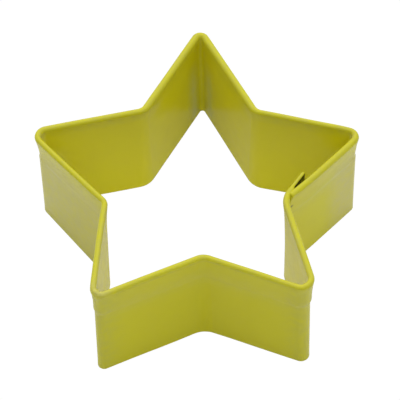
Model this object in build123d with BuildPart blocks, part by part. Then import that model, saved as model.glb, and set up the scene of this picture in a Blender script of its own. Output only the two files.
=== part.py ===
"""A star-shaped cookie cutter: one coated steel strip on edge, with its two ends lapped and spot welded."""

import os
from math import cos, radians, sin, tan

from build123d import *

# Star, in millimetres, measured to the middle of the strip's thickness
tip_radius = 33.7  # centre to a tip, before its bend is rounded
valley_radius = 18.2  # centre to a valley, before its bend is rounded
strip_height = 25.4  # cutting edge to the top of the rim
strip_thickness = 0.36  # sheet steel with its coating

# Bend radii at the middle of the thickness, at the rim and at the cutting edge
tip_rim_bend = 1.3
tip_edge_bend = 1.1
valley_rim_bend = 2.7
valley_edge_bend = 4.0

# Hem: the upper edge folded outwards and down, with a roll at its top
hem_height = 6.35
roll_hollow = 0.36  # clear width inside the roll
flap_edge = 0.12  # what is left of the flap at its foot, where the coating fills the step

# Seam at the right-hand valley: the inner end runs past the valley inside the outer end
outer_end_clearance = 0.1  # end of the valley's bend to the outer end's cut
inner_end_reach = 6.85  # valley's corner to the inner end's cut
knee_clearance = 1.1  # inner end's cut to the shallow bend that brings the outer end back into line
knee_bend = 40.0
rim_standoff = 0.5  # outer end beyond the line from valley to tip, at the rim
edge_standoff = 0.25  # and at the cutting edge
sheet_gap = 0.04  # between the two sheets where they lie together
contact_height = 12.0  # cutting edge to where the inner end starts to lean away
rim_near = 0.34  # middle of the outer end's line to the inner end's at the valley's corner, above the contact height
rim_far = 1.86  # and at the inner end's cut
press_clearance = 0.05  # end of the inner end's bend to where its hem is pressed flat

# Spot welds between the lapped sheets
weld_diameter = 2.2
weld_cover = 0.13  # sheet left over each face of a weld
weld_rounding_share = 0.36  # of a weld's thickness
weld_count = 2

# Corners in order, clockwise seen from above, starting at the seam. The strip was bent by hand, so each
# corner is off its even place: to the right and to the back at the rim, and then further at the cutting
# edge, as shares of the tip radius. The last pair is its own shares of the bend radius at the rim and at the edge.
seam_angle = -18
corner_step = 36
corner_shares = [
    ((-0.0525, 0.003), (0.0175, 0.022), (2.15, 1.0)),  # right-hand valley, at the seam
    ((0.035, 0.020), (0.005, -0.010), (1.3, 1.3)),  # front right tip
    ((0.020, -0.005), (0.000, -0.010), (1.2, 1.2)),  # front valley
    ((0.005, -0.010), (0.000, -0.015), (0.95, 0.95)),  # front left tip
    ((-0.010, -0.015), (0.000, -0.025), (0.8, 0.8)),  # left-hand valley
    ((0.005, -0.005), (0.010, 0.015), (1.15, 1.15)),  # left tip
    ((0.005, 0.010), (0.010, 0.015), (1.0, 1.0)),  # back left valley
    ((0.010, 0.025), (0.010, 0.015), (0.7, 0.7)),  # back tip
    ((0.000, -0.005), (0.000, 0.015), (1.0, 1.0)),  # back right valley
    ((-0.031, -0.028), (0.006, 0.033), (1.0, 1.0)),  # right tip
]

# Derived sizes
half_thickness = strip_thickness / 2
hem_foot = strip_height - hem_height
roll_radius = strip_thickness + roll_hollow / 2
hem_reach = 2 * roll_radius - half_thickness  # middle of the strip to the outside of the roll
weld_thickness = 2 * (strip_thickness - weld_cover) + sheet_gap
weld_pitch = contact_height / weld_count


def star_corners(lean):
    """The ten corners, where lean is 0 at the cutting edge and 1 from the hem's foot to the rim."""
    corners = []
    for place, (rim_shares, edge_shares, _) in enumerate(corner_shares):
        angle = radians(seam_angle - corner_step * place)
        reach = tip_radius if place % 2 else valley_radius
        even_place = Vector(cos(angle), sin(angle)) * reach
        corners.append(even_place + (Vector(*rim_shares) + Vector(*edge_shares) * (1 - lean)) * tip_radius)
    return corners


def strip_corners(height, centre):
    """The strip's line at a height, from its inner end, round the star, to its outer end, about a centre."""
    lean = min(height / hem_foot, 1)
    star = star_corners(lean)
    valley, right_tip = star[0], star[-1]
    along = (right_tip - valley).normalized()
    outward = along.rotate(Axis.Z, -90)
    standoff = edge_standoff + (rim_standoff - edge_standoff) * lean
    at_valley = at_cut = strip_thickness + sheet_gap
    if height > contact_height:
        at_valley, at_cut = rim_near, rim_far
    inner_end = valley + along * inner_end_reach + outward * (standoff - at_cut)
    inner_bend = valley + outward * (standoff - at_valley)
    knee = valley + along * (inner_end_reach + knee_clearance) + outward * standoff
    outer_end_reach = bend_reach(star[1], inner_bend, inner_end, strip_bends(height)[0]) + outer_end_clearance
    outer_end = valley + along * outer_end_reach + outward * standoff
    return [centre + corner for corner in (inner_end, inner_bend, *star[1:], knee, outer_end)]


def strip_bends(height):
    """The bend radii of that line, one for each corner between its ends."""
    lean = min(height / hem_foot, 1)
    star_bends = []
    for place, (_, _, (rim_share, edge_share)) in enumerate(corner_shares):
        rim_bend = (tip_rim_bend if place % 2 else valley_rim_bend) * rim_share
        edge_bend = (tip_edge_bend if place % 2 else valley_edge_bend) * edge_share
        star_bends.append(edge_bend + (rim_bend - edge_bend) * lean)
    return [*star_bends, knee_bend]


def bend_reach(before, corner, after, bend):
    """How far a bend runs from its corner."""
    turn = (after - corner).get_angle(corner - before)
    return bend * tan(radians(turn / 2))


def beside(corners, bends, distance):
    """The corners and bend radii of the line that runs beside another, outwards by a distance."""
    runs = [(after - before).normalized() for before, after in zip(corners, corners[1:])]
    sides = [run.rotate(Axis.Z, 90) for run in runs]
    moved = [corners[0] + sides[0] * distance]
    for corner, before, after in zip(corners[1:-1], sides, sides[1:]):
        moved.append(corner + (before + after) * (distance / (1 + before.dot(after))))
    moved.append(corners[-1] + sides[-1] * distance)
    turns = [before.cross(after).Z for before, after in zip(runs, runs[1:])]
    radii = [bend + distance if turn < 0 else bend - distance for bend, turn in zip(bends, turns)]
    return moved, radii


def plan_of_strip(height, centre, inner_side, outer_side):
    """The strip cut level at a height, between two distances from its middle."""
    corners = strip_corners(height, centre)
    bends = strip_bends(height)
    near_corners, near_bends = beside(corners, bends, inner_side)
    far_corners, far_bends = beside(corners, bends, outer_side)
    with BuildSketch(Plane.XY.offset(height)) as plan:
        with BuildLine():
            FilletPolyline(*near_corners, radius=near_bends)
            FilletPolyline(*far_corners, radius=far_bends)
            Line(near_corners[0], far_corners[0])
            Line(near_corners[-1], far_corners[-1])
        make_face()
    return plan.sketch


# The box round the whole cutter is centred on the origin, and the cutting edge stands on it
origin = Vector(0, 0)
with BuildLine() as footprint:
    for height, reach in ((0, half_thickness), (strip_height, hem_reach)):
        outer_corners, outer_bends = beside(strip_corners(height, origin), strip_bends(height), reach)
        FilletPolyline(*outer_corners, radius=outer_bends)
star_centre = origin - footprint.line.bounding_box().center()

rim_corners = [Vector(corner.X, corner.Y, hem_foot) for corner in strip_corners(strip_height, star_centre)]
rim_bends = strip_bends(strip_height)
inner_end, inner_bend = rim_corners[:2]
inner_run = (inner_end - inner_bend).normalized()
inner_bend_reach = bend_reach(rim_corners[2], inner_bend, inner_end, rim_bends[0])
press_point = inner_bend + inner_run * (inner_bend_reach + press_clearance)
hem_plane = Plane(origin=press_point, x_dir=inner_run.rotate(Axis.Z, -90), z_dir=-inner_run)
roll_height = hem_height - roll_radius
flap_slope = (hem_reach - half_thickness - flap_edge) / roll_height
hollow_foot = (strip_thickness - flap_edge) / flap_slope
fold_height = hem_height - strip_thickness
fold_reach = half_thickness + strip_thickness


def weld_plane(height):
    """Where a weld lies: between the sheets, halfway along the lap, facing outwards."""
    inner_end, *_, knee, outer_end = strip_corners(height, star_centre)
    along = (knee - outer_end).normalized()
    outward = along.rotate(Axis.Z, -90)
    lap_length = (inner_end - outer_end).dot(along)
    middle = outer_end + along * (lap_length / 2) - outward * ((strip_thickness + sheet_gap) / 2)
    return Plane(origin=(middle.X, middle.Y, height), x_dir=along, z_dir=outward)


# Spot welds: lens-like nuggets, each half in one sheet and half in the other
with BuildPart() as seam_spot_welds:
    for weld in range(weld_count):
        with BuildSketch(weld_plane(weld_pitch * (weld + 1 / 2))):
            Circle(weld_diameter / 2)
        extrude(amount=weld_thickness / 2, both=True)
    weld_rims = seam_spot_welds.edges().filter_by(GeomType.CIRCLE)
    fillet(weld_rims, weld_thickness * weld_rounding_share)
seam_spot_welds.part.label = "seam_spot_welds"

# The strip
with BuildPart() as star_band:
    # Plain wall, from the cutting edge up to the hem's foot
    wall_levels = (0, contact_height, hem_foot)
    sides = (-half_thickness, half_thickness)
    wall_plans = [plan_of_strip(level, star_centre, *sides) for level in wall_levels]
    loft(wall_plans, ruled=True)

    # Hem, as a teardrop from the outer end round to the seam's bend
    with BuildLine() as rim_line:
        FilletPolyline(press_point, *rim_corners[1:], radius=rim_bends)
    with BuildSketch(hem_plane):
        with BuildLine():
            Line((-half_thickness, 0), (-half_thickness, roll_height))
            CenterArc((roll_radius - half_thickness, roll_height), roll_radius, 0, 180)
            Line((hem_reach, roll_height), (half_thickness + flap_edge, 0))
            Line((half_thickness + flap_edge, 0), (-half_thickness, 0))
        make_face()
    sweep(path=rim_line.line)

    # Hollow inside the hem, open at the outer end's cut
    with BuildSketch(hem_plane):
        with BuildLine():
            Line((half_thickness, hollow_foot), (half_thickness, roll_height))
            CenterArc((roll_radius - half_thickness, roll_height), roll_radius - strip_thickness, 0, 180)
            Line((hem_reach - strip_thickness, roll_height), (half_thickness, hollow_foot))
        make_face()
    sweep(path=rim_line.line, mode=Mode.SUBTRACT)

    # Hem of the inner end, pressed flat against its wall
    with BuildSketch(hem_plane):
        with BuildLine():
            Line((-half_thickness, 0), (-half_thickness, fold_height))
            CenterArc((half_thickness, fold_height), strip_thickness, 0, 180)
            Line((fold_reach, fold_height), (fold_reach, 0))
            Line((fold_reach, 0), (-half_thickness, 0))
        make_face()
    extrude(amount=-(inner_end - press_point).length)

    # Pockets that the weld nuggets fill
    add(seam_spot_welds.part, mode=Mode.SUBTRACT)
star_band.part.label = "star_band"

os.makedirs("parts", exist_ok=True)
export_step(star_band.part, "parts/star_band.step")
export_step(seam_spot_welds.part, "parts/seam_spot_welds.step")
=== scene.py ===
"""The photographed star cookie cutter: a coated steel strip on edge, with a rolled rim and a lapped seam."""

from math import atan, atan2, cos, exp, pi, radians, sin, tan

import bpy
from mathutils import Matrix, Vector, noise
from mathutils.geometry import tessellate_polygon


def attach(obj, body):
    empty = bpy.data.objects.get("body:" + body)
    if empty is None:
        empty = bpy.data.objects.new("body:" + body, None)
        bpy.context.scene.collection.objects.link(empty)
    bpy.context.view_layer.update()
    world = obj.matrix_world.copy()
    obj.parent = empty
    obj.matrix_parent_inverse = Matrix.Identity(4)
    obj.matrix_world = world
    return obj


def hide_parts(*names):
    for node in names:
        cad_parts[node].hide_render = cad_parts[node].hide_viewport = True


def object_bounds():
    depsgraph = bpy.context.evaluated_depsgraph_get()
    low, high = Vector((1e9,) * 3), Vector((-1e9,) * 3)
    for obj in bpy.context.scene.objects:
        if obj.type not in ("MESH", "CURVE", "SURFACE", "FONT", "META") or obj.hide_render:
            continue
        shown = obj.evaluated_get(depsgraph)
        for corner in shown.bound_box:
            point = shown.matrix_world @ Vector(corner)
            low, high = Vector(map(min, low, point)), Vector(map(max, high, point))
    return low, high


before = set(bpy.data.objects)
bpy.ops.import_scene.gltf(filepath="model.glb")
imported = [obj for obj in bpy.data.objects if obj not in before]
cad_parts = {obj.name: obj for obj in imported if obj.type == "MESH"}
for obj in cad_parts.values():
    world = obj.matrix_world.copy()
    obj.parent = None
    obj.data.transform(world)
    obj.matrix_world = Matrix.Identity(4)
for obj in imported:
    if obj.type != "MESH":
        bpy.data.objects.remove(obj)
cad_low, cad_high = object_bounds()

# The strip's sizes, in metres, to the middle of its thickness
tip_radius = 0.0337
valley_radius = 0.0182
strip_height = cad_high.z - cad_low.z
strip_thickness = 0.00036
tip_rim_bend = 0.0013
tip_edge_bend = 0.0011
valley_rim_bend = 0.0027
valley_edge_bend = 0.0040

# Hem
hem_height = 0.00635
roll_hollow = 0.00036
flap_edge = 0.00012

# Seam at the right-hand valley
outer_end_clearance = 0.0001
inner_end_reach = 0.00685
knee_clearance = 0.0011
knee_bend = 0.0400
rim_standoff = 0.0005
edge_standoff = 0.00025
sheet_gap = 0.00004
contact_height = 0.0120
rim_near = 0.00034
rim_far = 0.00186
press_clearance = 0.00005
press_run = 0.0006  # length over which the roll is pressed flat

# Corners, clockwise from the seam: shifts at the rim, further shifts at the cutting edge, and the bends at
# the rim and at the edge, all as shares
seam_angle = -18
corner_step = 36
corner_shares = [
    ((-0.0525, 0.003), (0.0175, 0.022), (2.15, 1.0)),  # right-hand valley, at the seam
    ((0.035, 0.020), (0.005, -0.010), (1.3, 1.3)),  # front right tip
    ((0.020, -0.005), (0.000, -0.010), (1.2, 1.2)),  # front valley
    ((0.005, -0.010), (0.000, -0.015), (0.95, 0.95)),  # front left tip
    ((-0.010, -0.015), (0.000, -0.025), (0.8, 0.8)),  # left-hand valley
    ((0.005, -0.005), (0.010, 0.015), (1.15, 1.15)),  # left tip
    ((0.005, 0.010), (0.010, 0.015), (1.0, 1.0)),  # back left valley
    ((0.010, 0.025), (0.010, 0.015), (0.7, 0.7)),  # back tip
    ((0.000, -0.005), (0.000, 0.015), (1.0, 1.0)),  # back right valley
    ((-0.031, -0.028), (0.006, 0.033), (1.0, 1.0)),  # right tip
]
front_right_tip = 1  # places in that list, which also number the corners below
front_left_tip = 3
right_tip = 9

# The roll's radius with the coating on it, wall by wall from the seam
bead_radii = [0.00063, 0.00060, 0.00066, 0.00060, 0.00058, 0.00066, 0.00072, 0.00070, 0.00057, 0.00070]
bead_change = 0.0030  # length over which it changes, about a corner

# How the folds and the coating change the strip's even section
neck_run = 0.0022  # height over which the strip swells inwards below the roll
flap_curve = 1.7  # power: the flap leaves the roll slanting in, and comes upright at its foot
foot_run = 0.0012  # height over which the coating fills the step below the flap
edge_coat = 0.00003  # coating gathered at the cutting edge
edge_coat_run = 0.0007
edge_rounding_share = 0.8  # of half the thickness

# The outer end's cut lies further round the bend than the solid's, and its flap further still, bent in
end_overrun = 0.0012
tuck_overrun = 0.00045
tuck_in = 0.00015
tuck_run = 0.0025
tuck_start = 0.0002  # below the rim
tuck_full = 0.0011
hollow_depth = 0.0020  # of the roll, as far as it is seen at the cut
hollow_share = 0.4  # of the hollow's width, left open by the coating at the cut

# How the strip stands out of line near some corners: how far along the strip, then outwards at the rim, at
# the hem's foot and on the wall below, the power by which the wall comes back towards the cutting edge, and
# outwards at the flap's foot
corner_forms = {
    0: (0.0020, -0.00010, 0, 0.00020, 0, 0),  # right-hand valley, at the seam
    1: (0.0024, 0, 0, 0.00012, 1, 0.00025),  # front right tip
    3: (0.0024, 0, 0, 0.00010, 1, 0.00010),  # front left tip
    4: (0.0030, -0.00014, 0, 0.00010, 1, 0),  # left-hand valley
    5: (0.0024, 0, -0.00012, 0.00018, 1.5, -0.00010),  # left tip
    9: (0.0024, -0.00020, -0.00015, 0.00020, 1.5, -0.00010),  # right tip
}
rim_form_start = 0.0012  # above the hem's foot, where the rim's form starts
foot_form_start = 0.0004  # below the hem's foot
foot_form_middle = 0.0006  # above the hem's foot
foot_form_run = 0.0014
wall_form_fade = 0.0006  # below the hem's foot, where the wall's form starts to fade
wall_form_end = 0.0030  # above the hem's foot

# Slow waves in the walls
wave_height = 0.00007
wave_length = 0.0110
wave_upright_share = 0.6  # how fast they change up the wall, against along it
wave_calm = 0.0030  # distance from a corner over which they die down

# Small buckles in the rim, where it is folded round a tip
buckle_length = 0.0008
buckle_run = 0.0013
buckle_heights = {1: 0.00008, 3: 0.00034, 5: 0.00004, 7: 0.00003, 9: 0.00004}  # by corner
buckle_middle = 0.5  # share of their height about which the noise goes up and down
push_seed = 0.3  # place in the noise of the buckles pushed in
drop_seeds = (7.7, 0.8)  # and of those pushed down

# Marks on the coating: painted reflections, a painted highlight, painted shade and a dark spot
tip_reflection_middle = 0.0030  # distance from a tip, inside, where the coating gets painted reflection
tip_reflection_run = 0.0015
tip_reflection_low = 0.0020  # height by which the painted reflection is full
tip_reflection_fade = 0.0100  # heights over which the painted reflection fades again
tip_reflection_top = 0.0200
lap_dark_start = 0.00012  # below the rim, where painted shade darkens it between the two ends
lap_dark_full = 0.00030
lap_dark_lag = 0.0004  # past the bend, before the inner end gets painted shade
lap_dark_run = 0.0006
lap_dark_early = 0.0008  # before the inner end's cut, from where the outer end gets painted shade
foot_reflection_run = 0.0022  # painted reflection along the flap's foot
foot_reflection_share = 0.25
aside_start = 0.35  # walls facing left or right get painted reflection, by the sine of how far they're turned
aside_full = 0.55
aside_calm = 0.0035  # distance from a front tip within which they get no painted reflection, and painted shade instead
fade_start = 0.0040  # distances from the right tip over which its front wall stops getting painted reflection
fade_end = 0.0100
sliver_start = 0.85  # inner faces of the two front arms, with painted reflection by the same sine
sliver_full = 0.95
sliver_share = 0.45
spot_above_foot = 0.0021  # a dark spot in the coating of the outer end's flap
spot_from_cut = 0.0003
spot_outwards = 0.0003
spot_radius = 0.0006
spot_core = 0.0002  # radius of its darkest part
crumple_highlight_run = 0.0022  # painted highlight on the rim of the front left tip, where it is crumpled
crumple_highlight_drop = 0.0008
rim_shade_run = 0.0012  # painted shade on the roll, measured down from its top
rim_shade_full = 0.0006

# Mesh steps
wall_steps = 36
end_steps = 14
bend_steps = 16
face_rows = 12
face_crowding = 1.3  # power by which those rows lie closer towards the cutting edge
flap_rows = 10
foot_rows = 4
roll_steps = 16
edge_steps = 4
hollow_steps = 10

# Derived sizes
half_thickness = strip_thickness / 2
hem_foot = strip_height - hem_height
roll_radius = strip_thickness + roll_hollow / 2
spot_height = hem_foot + spot_above_foot
levels = (0, contact_height, hem_foot, strip_height)


def mix(start, end, share):
    """The value that lies a share of the way from one value to another."""
    return start + (end - start) * share


def step_up(value, start, end):
    """0 before start, 1 after end, and smooth between them."""
    share = min(max((value - start) / (end - start), 0), 1)
    return share * share * (3 - 2 * share)


def near(distance, run):
    """1 at no distance, falling smoothly to nothing well past the run."""
    return exp(-((distance / run) ** 2))


def sideways(direction):
    """The direction a quarter turn to the left, which is outwards on this clockwise strip."""
    return Vector((-direction.y, direction.x))


def towards(azimuth, elevation):
    """The direction with an azimuth, in degrees from the front to the right, and an elevation in degrees."""
    way, rise = radians(azimuth), radians(elevation)
    return Vector((sin(way) * cos(rise), -cos(way) * cos(rise), sin(rise)))


def star_corners(lean):
    """The ten corners, where lean is 0 at the cutting edge and 1 from the hem's foot to the rim."""
    corners = []
    for place, (rim_shares, edge_shares, _) in enumerate(corner_shares):
        angle = radians(seam_angle - corner_step * place)
        reach = tip_radius if place % 2 else valley_radius
        shift = Vector(rim_shares) + Vector(edge_shares) * (1 - lean)
        corners.append(Vector((cos(angle), sin(angle))) * reach + shift * tip_radius)
    return corners


def strip_bends(height):
    """The bend radii of the strip's line at a height."""
    lean = min(height / hem_foot, 1)
    bends = []
    for place, (_, _, (rim_share, edge_share)) in enumerate(corner_shares):
        rim_bend = (tip_rim_bend if place % 2 else valley_rim_bend) * rim_share
        edge_bend = (tip_edge_bend if place % 2 else valley_edge_bend) * edge_share
        bends.append(mix(edge_bend, rim_bend, lean))
    return [*bends, knee_bend]


def bend_reach(before, corner, after, bend):
    """How far a bend runs from its corner."""
    turn = (after - corner).angle(corner - before)
    return bend * tan(turn / 2)


def strip_corners(height):
    """The strip's line at a height, from its inner end, round the star, to its outer end."""
    lean = min(height / hem_foot, 1)
    star = star_corners(lean)
    valley = star[0]
    along = (star[-1] - valley).normalized()
    outward = -sideways(along)
    standoff = mix(edge_standoff, rim_standoff, lean)
    at_valley = at_cut = strip_thickness + sheet_gap
    if height > contact_height:
        at_valley, at_cut = rim_near, rim_far
    inner_end = valley + along * inner_end_reach + outward * (standoff - at_cut)
    inner_bend = valley + outward * (standoff - at_valley)
    knee = valley + along * (inner_end_reach + knee_clearance) + outward * standoff
    bend_end = bend_reach(star[1], inner_bend, inner_end, strip_bends(height)[0])
    outer_end = valley + along * (bend_end + outer_end_clearance - end_overrun) + outward * standoff
    return [inner_end, inner_bend, *star[1:], knee, outer_end]


def rounded_line(corners, bends):
    """The places along a line with rounded corners, their outward directions, and each bend's middle."""
    runs = [(after - before).normalized() for before, after in zip(corners, corners[1:])]
    turns = [atan2(before.cross(after), before.dot(after)) for before, after in zip(runs, runs[1:])]
    trims = [0, *[bend * tan(abs(turn) / 2) for bend, turn in zip(bends, turns)], 0]
    line = []
    middles = []
    for number, run in enumerate(runs):
        start = corners[number] + run * trims[number]
        end = corners[number + 1] - run * trims[number + 1]
        steps = end_steps if number in (0, len(runs) - 1) else wall_steps
        side = sideways(run)
        line += [(start.lerp(end, step / steps), side) for step in range(steps + 1)]
        if number < len(turns):
            middles.append(len(line) + bend_steps // 2 - 1)
            turn = turns[number]
            radius = -bends[number] if turn > 0 else bends[number]
            centre = end - side * radius
            for step in range(1, bend_steps):
                turned = Matrix.Rotation(turn * step / bend_steps, 2) @ side
                line.append((centre + turned * radius, turned))
    return line, middles


rounded_lines = [rounded_line(strip_corners(level), strip_bends(level)) for level in levels]
lines = [line for line, _ in rounded_lines]
corner_stations = rounded_lines[-1][1][:len(corner_shares)]
station_count = len(lines[0])


def on_strip(station, height):
    """The middle of the strip and its outward direction, at a station and a height."""
    below = max(number for number, level in enumerate(levels[:-1]) if height >= level or number == 0)
    share = (height - levels[below]) / (levels[below + 1] - levels[below])
    (low_place, low_side), (high_place, high_side) = lines[below][station], lines[below + 1][station]
    return low_place.lerp(high_place, share), low_side.lerp(high_side, share).normalized()


def distances_along(line):
    """How far each station lies from the inner end."""
    lengths = [0]
    for (before, _), (after, _) in zip(line, line[1:]):
        lengths.append(lengths[-1] + (after - before).length)
    return lengths


travelled = distances_along(lines[-1])
press_end = travelled[end_steps] - press_clearance
rim_inner_end, *_, rim_knee, rim_outer_end = strip_corners(strip_height)
lap_length = (rim_inner_end - rim_outer_end).dot((rim_knee - rim_outer_end).normalized())
outer_lap_start = travelled[-1] - lap_length


def corner_distance(station, corner):
    """How far a station lies from one of the star's corners, along the rim."""
    return abs(travelled[station] - travelled[corner_stations[corner]])


def bead_radius(station):
    """The roll's radius with the coating on it, which is wider than the solid's and swells inwards."""
    radius = bead_radii[0]
    for corner, wider in zip(corner_stations[1:], bead_radii[1:]):
        past_corner = travelled[station] - travelled[corner]
        radius = mix(radius, wider, step_up(past_corner, -bead_change / 2, bead_change / 2))
    return radius


def edge_rounding(sign):
    """The rounded corner of the cutting edge on one side, from its underside up."""
    radius = half_thickness * edge_rounding_share
    flat = half_thickness + edge_coat - radius
    turns = [pi / 2 * step / edge_steps for step in range(edge_steps + 1)]
    return [(sign * (flat + radius * sin(turn)), radius * (1 - cos(turn))) for turn in turns]


def wall_face(sign, top):
    """One face of the wall from the cutting edge to a height, swollen a little by coating at the edge."""
    points = []
    for row in range(1, face_rows):
        height = mix(half_thickness, top, (row / face_rows) ** face_crowding)
        points.append((sign * (half_thickness + edge_coat * near(height, edge_coat_run)), height))
    return points


def strip_section(press, flare, roll):
    """The strip's section as (outward offset, height) points. Press is 1 where the roll is pressed flat."""
    radius = mix(roll, strip_thickness, press)
    centre = mix(2 * roll_radius, 2 * strip_thickness, press) - half_thickness - radius
    swell = radius - centre - half_thickness
    roll_height = strip_height - radius
    foot = mix(half_thickness + flap_edge + flare, half_thickness + strip_thickness, press)
    slant = atan(flap_curve * max(centre + radius - foot, 0) / (roll_height - hem_foot))
    points = edge_rounding(-1)
    for offset, height in wall_face(-1, roll_height):
        points.append((offset - swell * step_up(height, roll_height - neck_run, roll_height), height))
    for step in range(roll_steps + 1):
        turn = mix(pi, -slant, step / roll_steps)
        points.append((centre + radius * cos(turn), roll_height + radius * sin(turn)))
    neck_offset, neck_height = points[-1]
    for row in range(1, flap_rows + 1):
        share = row / flap_rows
        points.append((mix(foot, neck_offset, (1 - share) ** flap_curve), mix(neck_height, hem_foot, share)))
    for row in range(1, foot_rows + 1):
        share = row / foot_rows
        points.append((mix(foot, half_thickness, step_up(share, 0, 1)), hem_foot - foot_run * share))
    points += wall_face(1, hem_foot - foot_run)[::-1]
    points += edge_rounding(1)[::-1]
    return points


def corner_shift(station, height):
    """How far the strip stands out of line near a corner, outwards."""
    above_foot = height - hem_foot
    up_wall = height / strip_height
    rim_part = step_up(height, hem_foot + rim_form_start, strip_height - roll_radius)
    foot_part = near(above_foot - foot_form_middle, foot_form_run) * step_up(above_foot, -foot_form_start, 0)
    wall_part = 1 - step_up(above_foot, -wall_form_fade, wall_form_end)
    shift = 0
    for corner, (run, at_rim, at_foot, on_wall, power, _) in corner_forms.items():
        form = at_rim * rim_part + at_foot * foot_part + on_wall * wall_part * up_wall ** power
        shift += form * near(corner_distance(station, corner), run)
    return shift


def foot_flare(station):
    """How much further the flap's foot stands off near a corner."""
    flare = 0
    for corner, (run, _, _, _, _, at_flap) in corner_forms.items():
        flare += at_flap * near(corner_distance(station, corner), run)
    return flare


def end_tuck(station, height):
    """How strongly the outer end's flap is bent round the corner: 0 at the rim, 1 at the cut lower down."""
    at_cut = step_up(travelled[station], travelled[-1] - tuck_run, travelled[-1])
    return at_cut * step_up(strip_height - height, tuck_start, tuck_full)


def waves(station, place, height):
    """How far the wall waves out of line, which it doesn't in the lap."""
    calm = 1
    for corner in range(len(corner_stations)):
        calm *= 1 - near(corner_distance(station, corner), wave_calm)
    calm *= step_up(travelled[station], press_end, press_end + wave_length)
    calm *= 1 - step_up(travelled[station], outer_lap_start - wave_length, outer_lap_start)
    spot = Vector((place.x, place.y, height * wave_upright_share)) / wave_length
    return wave_height * calm * noise.noise(spot)


def buckles(station, height):
    """How far the hem is pushed in and down where it buckles at the tips."""
    size = 0
    for corner, buckle_height in buckle_heights.items():
        size += buckle_height * near(corner_distance(station, corner), buckle_run)
    size *= step_up(height, hem_foot, strip_height - 2 * roll_radius)
    along = travelled[station] / buckle_length
    push = size * (buckle_middle + noise.noise(Vector((along, height / buckle_length, push_seed))))
    drop = size * (buckle_middle + noise.noise(Vector((along, *drop_seeds))))
    return max(push, 0), max(drop, 0) * step_up(height, hem_foot, strip_height)


def centre_of_star():
    """Where the star's centre lies, so that the strip's box is the frame's box."""
    places = []
    for level, reach in ((0, half_thickness), (strip_height, 2 * roll_radius - half_thickness)):
        for station in range(station_count):
            place, side = on_strip(station, level)
            places.append(place + side * reach)
    middle_x = (min(place.x for place in places) + max(place.x for place in places)) / 2
    middle_y = (min(place.y for place in places) + max(place.y for place in places)) / 2
    frame_middle = (cad_low + cad_high) / 2
    return Vector((frame_middle.x - middle_x, frame_middle.y - middle_y))


star_centre = centre_of_star()


def painted_reflection_share(station, side, offset, height):
    """How strongly painted reflection and painted highlight pale the coating at a point of the strip."""
    if offset < 0:
        reflected = sliver_share * step_up(abs(side.x), sliver_start, sliver_full)
    else:
        turned_aside = step_up(abs(side.x), aside_start, aside_full) * step_up(-side.y, 0, aside_start)
        for corner in (front_right_tip, front_left_tip):
            turned_aside *= 1 - near(corner_distance(station, corner), aside_calm)
        if side.x > 0:
            turned_aside *= 1 - step_up(corner_distance(station, right_tip), fade_start, fade_end)
        below_roll = step_up(strip_height - height, 2 * roll_radius, hem_height)
        reflected = mix(foot_reflection_share * near(height - hem_foot, foot_reflection_run), below_roll, turned_aside)
    # Painted highlight on the crumpled rim of the front left tip
    crumple_highlight = near(corner_distance(station, front_left_tip), crumple_highlight_run)
    return max(reflected, crumple_highlight * step_up(height, strip_height - crumple_highlight_drop, strip_height))


def painted_tip_reflection(station, offset, height):
    """How strongly painted reflection pales the coating inside the tips."""
    if offset >= 0:
        return 0
    tips = range(1, len(corner_stations), 2)
    patch = max(near(corner_distance(station, tip) - tip_reflection_middle, tip_reflection_run) for tip in tips)
    return patch * step_up(height, 0, tip_reflection_low) * (1 - step_up(height, tip_reflection_fade, tip_reflection_top))


def painted_lap_shade(station, offset, height):
    """How much painted shade darkens a point of the strip between its two ends."""
    if offset < 0:
        lap_shade = step_up(travelled[station], outer_lap_start - lap_dark_early, outer_lap_start)
    else:
        lap_shade = step_up(press_end - travelled[station], lap_dark_lag, lap_dark_lag + lap_dark_run)
    return lap_shade * step_up(strip_height - height, lap_dark_start, lap_dark_full)


def painted_rim_shade(station, offset, height):
    """How much painted shade darkens the coating, on the roll and on the outer faces of the front tips."""
    shade = step_up(height, strip_height - rim_shade_run, strip_height - rim_shade_full)
    if offset >= 0:
        for corner in (front_right_tip, front_left_tip):
            shade = max(shade, near(corner_distance(station, corner), aside_calm))
    return shade


def carried_section():
    """The strip's points and marks, section by section from the inner end, and the outer end's section."""
    vertices, marks = [], []
    for station in range(station_count):
        press = 1 - step_up(travelled[station], press_end - press_run, press_end)
        section = strip_section(press, foot_flare(station), bead_radius(station))
        for offset, height in section:
            place, side = on_strip(station, height)
            push, drop = buckles(station, height)
            shift = offset + waves(station, place, height) + corner_shift(station, height) - push
            tuck = end_tuck(station, height)
            onward = -sideways(side)
            place = star_centre + place + side * (shift - tuck_in * tuck) + onward * (tuck_overrun * tuck)
            vertices.append((place.x, place.y, cad_low.z + height - drop))
            marks.append({
                "tip_reflection": painted_tip_reflection(station, offset, height),
                "lap_shade": painted_lap_shade(station, offset, height),
                "painted_reflection": painted_reflection_share(station, side, offset, height) * (1 - press),
                "edge_coat": near(height, edge_coat_run),
                "rim_shade": painted_rim_shade(station, offset, height),
            })
    return vertices, marks, section


def hollow_outline():
    """The outline of the roll's hollow at the outer end's cut, as (outward offset, height) points."""
    radius = roll_hollow / 2 * hollow_share
    centre = roll_radius - half_thickness
    turns = [2 * pi * step / hollow_steps for step in range(hollow_steps)]
    return [(centre + radius * cos(turn), strip_height - roll_radius + radius * sin(turn)) for turn in turns]


def hollow_points(hollow):
    """The points of the hollow and their marks, first at the outer end's cut and then at its bottom,
    darkened with painted shade.
    """
    vertices, marks = [], []
    for depth in (0, hollow_depth):
        for offset, height in hollow:
            place, side = on_strip(station_count - 1, height)
            place = star_centre + place + side * offset + sideways(side) * depth
            vertices.append((place.x, place.y, cad_low.z + height))
            marks.append({"lap_shade": 1} if depth else {})
    return vertices, marks


def filled(*outlines):
    """The triangles that fill an outline, round its holes, by the order of the outlines' points."""
    return tessellate_polygon([[Vector((*point, 0)) for point in outline] for outline in outlines])


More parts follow.
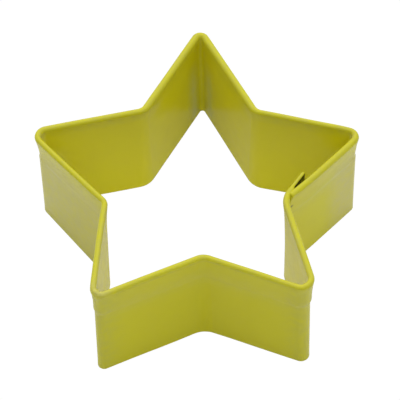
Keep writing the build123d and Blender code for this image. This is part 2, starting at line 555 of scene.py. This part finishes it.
def strip_faces(section, hollow):
    """The faces along the strip, over the cut at each end, and in the outer end's hollow."""
    faces = []
    rows = len(section)
    for station in range(station_count - 1):
        for row in range(rows):
            a = station * rows + row
            b = station * rows + (row + 1) % rows
            faces.append((a, b, b + rows, a + rows))
    for first, second, third in filled(strip_section(1, 0, roll_radius)):
        faces.append((first, third, second))
    last = (station_count - 1) * rows
    for first, second, third in filled(section, hollow):
        faces.append((last + first, last + second, last + third))
    hollow_rim = last + rows
    for step in range(hollow_steps):
        a = hollow_rim + step
        b = hollow_rim + (step + 1) % hollow_steps
        faces.append((b, a, a + hollow_steps, b + hollow_steps))
    faces.append(tuple(hollow_rim + hollow_steps + step for step in range(hollow_steps)))
    return faces


def build_strip():
    """The strip's mesh: its section carried from the inner end to the outer end, and closed at both cuts."""
    vertices, marks, section = carried_section()
    hollow = hollow_outline()
    hollow_vertices, hollow_marks = hollow_points(hollow)
    faces = strip_faces(section, hollow)
    mesh = bpy.data.meshes.new("star_strip")
    mesh.from_pydata(vertices + hollow_vertices, [], faces)
    mesh.polygons.foreach_set("use_smooth", [True] * len(faces))
    for name in marks[0]:
        attribute = mesh.attributes.new(name, "FLOAT", "POINT")
        attribute.data.foreach_set("value", [point.get(name, 0) for point in marks + hollow_marks])
    mesh.update()
    strip = bpy.data.objects.new("star_strip", mesh)
    bpy.context.collection.objects.link(strip)
    return strip


def new_material(name):
    """A material with one Principled shader, and its node tree."""
    material = bpy.data.materials.new(name)
    material.use_nodes = True
    return material, material.node_tree, material.node_tree.nodes["Principled BSDF"]


def plug(tree, socket, value):
    """Gives a socket a number, a colour or another node's output."""
    if isinstance(value, bpy.types.NodeSocket):
        tree.links.new(value, socket)
    elif isinstance(value, tuple):
        socket.default_value = (*value, 1)
    else:
        socket.default_value = value


def calculated(tree, operation, *values):
    """The result of a sum of values."""
    node = tree.nodes.new("ShaderNodeMath")
    node.operation = operation
    for socket, value in zip(node.inputs, values):
        plug(tree, socket, value)
    return node.outputs["Value"]


def ranged(tree, value, low, high, to_low, to_high):
    """A value carried from one range to another, and held at its ends."""
    spread = tree.nodes.new("ShaderNodeMapRange")
    for socket, number in zip(("From Min", "From Max", "To Min", "To Max"), (low, high, to_low, to_high)):
        plug(tree, spread.inputs[socket], number)
    plug(tree, spread.inputs["Value"], value)
    return spread.outputs["Result"]


def grain(tree, size, detail):
    """Noise whose lumps are of a size in metres."""
    texture = tree.nodes.new("ShaderNodeTexNoise")
    plug(tree, texture.inputs["Vector"], tree.nodes.new("ShaderNodeTexCoord").outputs["Object"])
    plug(tree, texture.inputs["Scale"], 1 / size)
    plug(tree, texture.inputs["Detail"], detail)
    return texture.outputs["Fac"]


def ranged_grain(tree, kind, spread, low=0, high=1):
    """A grain carried from a spread about its middle to a range."""
    return ranged(tree, grain(tree, *kind), grain_middle - spread, grain_middle + spread, low, high)


def mark(tree, name):
    """One of the marks that the mesh carries."""
    attribute = tree.nodes.new("ShaderNodeAttribute")
    attribute.attribute_name = name
    return attribute.outputs["Fac"]


def grained_mark(tree, name, fine, shares):
    """A mark that shows more or less strongly with a grain, between two shares."""
    return calculated(tree, "MULTIPLY", mark(tree, name), ranged(tree, fine, 0, 1, *shares))


def dark_spot(tree, place):
    """1 at a place on the object, falling to nothing at the spot's radius from it."""
    apart = tree.nodes.new("ShaderNodeVectorMath")
    apart.operation = "DISTANCE"
    plug(tree, apart.inputs[0], tree.nodes.new("ShaderNodeTexCoord").outputs["Object"])
    apart.inputs[1].default_value = place
    return ranged(tree, apart.outputs["Value"], spot_core, spot_radius, 1, 0)


def blended(tree, share, first, second):
    """One colour turning into another by a share."""
    blend = tree.nodes.new("ShaderNodeMix")
    blend.data_type = "RGBA"
    plug(tree, blend.inputs[0], share)
    plug(tree, blend.inputs[6], first)
    plug(tree, blend.inputs[7], second)
    return blend.outputs[2]


def bumped(tree, height, strength, distance, under=None):
    """A bumpy surface, over another bumpy surface where there is one."""
    bump = tree.nodes.new("ShaderNodeBump")
    plug(tree, bump.inputs["Strength"], strength)
    plug(tree, bump.inputs["Distance"], distance)
    plug(tree, bump.inputs["Height"], height)
    if under:
        plug(tree, bump.inputs["Normal"], under)
    return bump.outputs["Normal"]


# Grains: the size of the lumps in metres, and how fine their detail is
colour_grain = (0.009, 2)
fine_grain = (0.0016, 3)
gloss_grain = (0.004, 4)
pebble_grain = (0.0007, 2)
ripple_grain = (0.006, 1)
weld_tint_grain = (0.0008, 3)
weld_gloss_grain = (0.0003, 4)
weld_bump_grain = (0.0002, 3)
grain_middle = 0.5
colour_spread = 0.15
gloss_spread = 0.2

# Bumps: their strength, and their height in metres
pebble_bump = (0.25, 0.00003)
ripple_bump = (0.5, 0.00012)
weld_bump = (0.4, 0.00003)

# The coating's colours, and how strongly its marks bring theirs in
coating_colours = ((0.90, 0.850, 0.001), (0.89, 0.835, 0.003))
reflection_colour = (0.76, 0.70, 0.42)
reflection_shares = (0.30, 0.45)
tip_reflection_colour = (0.81, 0.83, 0.42)
tip_reflection_shares = (0.75, 1)
edge_colour = (0.92, 0.90, 0.010)
edge_share = 0.3
rim_shade_colour = (0.45, 0.47, 0.21)
rim_shade_shares = (0.10, 0.22)
lap_shade_colour = (0.006, 0.005, 0.004)
spot_colour = (0.26, 0.23, 0.004)
spot_share = 0.8
coating_ior = 1.40
coating_roughness = (0.17, 0.27)

# The welds' look
weld_colours = ((0.45, 0.44, 0.43), (0.24, 0.20, 0.18))
weld_roughness = (0.35, 0.6)


def coating_material():
    """The baked yellow-green coating: glossy, slightly pebbled, with painted reflections inside the tips and
    painted shade in the lap.
    """
    material, tree, shader = new_material("baked_coating")
    fine = ranged_grain(tree, fine_grain, colour_spread)
    colour = blended(tree, ranged_grain(tree, colour_grain, colour_spread), *coating_colours)
    # Painted reflection and highlight: paler where walls face aside, on the front arms' insides, along the
    # flap's foot and on the crumpled rim
    colour = blended(tree, grained_mark(tree, "painted_reflection", fine, reflection_shares), colour, reflection_colour)
    # Painted reflection inside the tips
    colour = blended(tree, grained_mark(tree, "tip_reflection", fine, tip_reflection_shares), colour, tip_reflection_colour)
    at_edge = calculated(tree, "MULTIPLY", mark(tree, "edge_coat"), edge_share)
    colour = blended(tree, at_edge, colour, edge_colour)
    # Painted shade on the roll and on the front tips' outer faces
    colour = blended(tree, grained_mark(tree, "rim_shade", fine, rim_shade_shares), colour, rim_shade_colour)
    # Painted shade between the strip's two ends and at the bottom of the roll's hollow
    colour = blended(tree, mark(tree, "lap_shade"), colour, lap_shade_colour)
    # A dark spot on the outer end's flap
    spot_place, spot_side = on_strip(station_count - 1, spot_height)
    spot_place = star_centre + spot_place + spot_side * spot_outwards + sideways(spot_side) * spot_from_cut
    spotted = dark_spot(tree, (spot_place.x, spot_place.y, cad_low.z + spot_height))
    colour = blended(tree, calculated(tree, "MULTIPLY", spotted, spot_share), colour, spot_colour)
    plug(tree, shader.inputs["Base Color"], colour)
    plug(tree, shader.inputs["IOR"], coating_ior)
    plug(tree, shader.inputs["Roughness"], ranged_grain(tree, gloss_grain, gloss_spread, *coating_roughness))
    pebbles = bumped(tree, grain(tree, *pebble_grain), *pebble_bump)
    plug(tree, shader.inputs["Normal"], bumped(tree, grain(tree, *ripple_grain), *ripple_bump, pebbles))
    return material


def weld_material():
    """Bare steel that the weld's heat has tinted."""
    material, tree, shader = new_material("weld_steel")
    tint = ranged_grain(tree, weld_tint_grain, colour_spread)
    gloss = ranged_grain(tree, weld_gloss_grain, gloss_spread, *weld_roughness)
    plug(tree, shader.inputs["Base Color"], blended(tree, tint, *weld_colours))
    plug(tree, shader.inputs["Metallic"], 1.0)
    plug(tree, shader.inputs["Roughness"], gloss)
    plug(tree, shader.inputs["Normal"], bumped(tree, grain(tree, *weld_bump_grain), *weld_bump))
    return material


strip = build_strip()
strip.data.materials.append(coating_material())
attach(strip, "root")
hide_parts("star_band")

weld_steel = weld_material()
for weld_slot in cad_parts["seam_spot_welds"].material_slots:
    weld_slot.material = weld_steel

# Camera, fitted to the photograph
camera_lens_share = 7.011  # focal length over the image's width
camera_azimuth = 0.13
camera_elevation = 54.71
camera_roll = -0.51
camera_distance = 0.5578
camera_target = Vector((0.00042, 0.00842, 0))
camera_clip = 0.01

backward = towards(camera_azimuth, camera_elevation)
camera = bpy.data.objects.new("camera", bpy.data.cameras.new("camera"))
bpy.context.collection.objects.link(camera)
camera.data.lens = camera_lens_share * camera.data.sensor_width
camera.data.clip_start = camera_clip
camera.location = camera_target + backward * camera_distance
look = (-backward).to_track_quat("-Z", "Y")
camera.rotation_mode = "QUATERNION"
camera.rotation_quaternion = look @ Matrix.Rotation(radians(camera_roll), 3, "Z").to_quaternion()
bpy.context.scene.camera = camera

# Table
table_size = 1.5
table_colour = (0.85, 0.85, 0.85)
table_brightness = 1.02  # as the camera sees it
table_glow = 0.08  # light through the table from below

# Light: a white tent, brightest behind and above, as (elevation, azimuth from the front to the right, power
# by which the light is narrowed, strength)
tent_panels = [
    (90, 0, 2, 0.44),
    (60, 180, 3, 0.39),
    (60, 90, 3, 0.25),
    (60, 270, 3, 0.22),
    (70, 0, 4, 0.18),
    (25, 180, 8, 0.80),
    (30, 225, 6, 0.40),
    (30, 135, 6, 0.21),
    (25, 90, 6, 0.16),
    (35, 45, 6, 0.06),
]
backdrop_brightness = 0.95  # of the grey behind the table's edge, which only the camera sees


def seen_as(tree, lit, seen):
    """What lights the scene as one shader and shows to the camera as another."""
    ray = tree.nodes.new("ShaderNodeLightPath")
    choice = tree.nodes.new("ShaderNodeMixShader")
    plug(tree, choice.inputs["Fac"], ray.outputs["Is Camera Ray"])
    plug(tree, choice.inputs[1], lit)
    plug(tree, choice.inputs[2], seen)
    return choice.outputs["Shader"]


def emission(tree, strength):
    """White light of a strength."""
    light = tree.nodes.new("ShaderNodeEmission")
    plug(tree, light.inputs["Strength"], strength)
    return light.outputs["Emission"]


def table_material():
    """A matt white that lets some light through, and shows as pure white to the camera."""
    material = bpy.data.materials.new("white_table")
    material.use_nodes = True
    tree = material.node_tree
    tree.nodes.clear()
    matt = tree.nodes.new("ShaderNodeBsdfDiffuse")
    plug(tree, matt.inputs["Color"], table_colour)
    lit = tree.nodes.new("ShaderNodeAddShader")
    plug(tree, lit.inputs[0], matt.outputs["BSDF"])
    plug(tree, lit.inputs[1], emission(tree, table_glow))
    output = tree.nodes.new("ShaderNodeOutputMaterial")
    surface = seen_as(tree, lit.outputs["Shader"], emission(tree, table_brightness))
    plug(tree, output.inputs["Surface"], surface)
    return material


def build_table():
    """The table under the cutter, as one square."""
    reach = table_size / 2
    corners = [(-reach, -reach, 0), (reach, -reach, 0), (reach, reach, 0), (-reach, reach, 0)]
    mesh = bpy.data.meshes.new("table")
    mesh.from_pydata(corners, [], [(0, 1, 2, 3)])
    mesh.materials.append(table_material())
    table = bpy.data.objects.new("table", mesh)
    bpy.context.collection.objects.link(table)
    return table


def tent_strength(tree):
    """The tent's brightness in each direction, as the sum of its panels."""
    sky_place = tree.nodes.new("ShaderNodeTexCoord").outputs["Generated"]
    strength = 0
    for panel_elevation, panel_azimuth, narrowing, panel_strength in tent_panels:
        facing = tree.nodes.new("ShaderNodeVectorMath")
        facing.operation = "DOT_PRODUCT"
        facing.inputs[1].default_value = towards(panel_azimuth, panel_elevation)
        plug(tree, facing.inputs[0], sky_place)
        ahead = calculated(tree, "MAXIMUM", facing.outputs["Value"], 0)
        narrowed = calculated(tree, "POWER", ahead, narrowing)
        strength = calculated(tree, "MULTIPLY_ADD", narrowed, panel_strength, strength)
    return strength


def light_scene():
    """The world: the tent as light, and the backdrop behind the table for the camera."""
    world = bpy.data.worlds.new("studio")
    bpy.context.scene.world = world
    world.use_nodes = True
    tree = world.node_tree
    tent = tree.nodes["Background"]
    plug(tree, tent.inputs["Color"], (1, 1, 1))
    plug(tree, tent.inputs["Strength"], tent_strength(tree))
    backdrop = tree.nodes.new("ShaderNodeBackground")
    plug(tree, backdrop.inputs["Strength"], backdrop_brightness)
    surface = seen_as(tree, tent.outputs["Background"], backdrop.outputs["Background"])
    plug(tree, tree.nodes["World Output"].inputs["Surface"], surface)


table = build_table()
light_scene()
bpy.context.scene.view_settings.view_transform = "Standard"
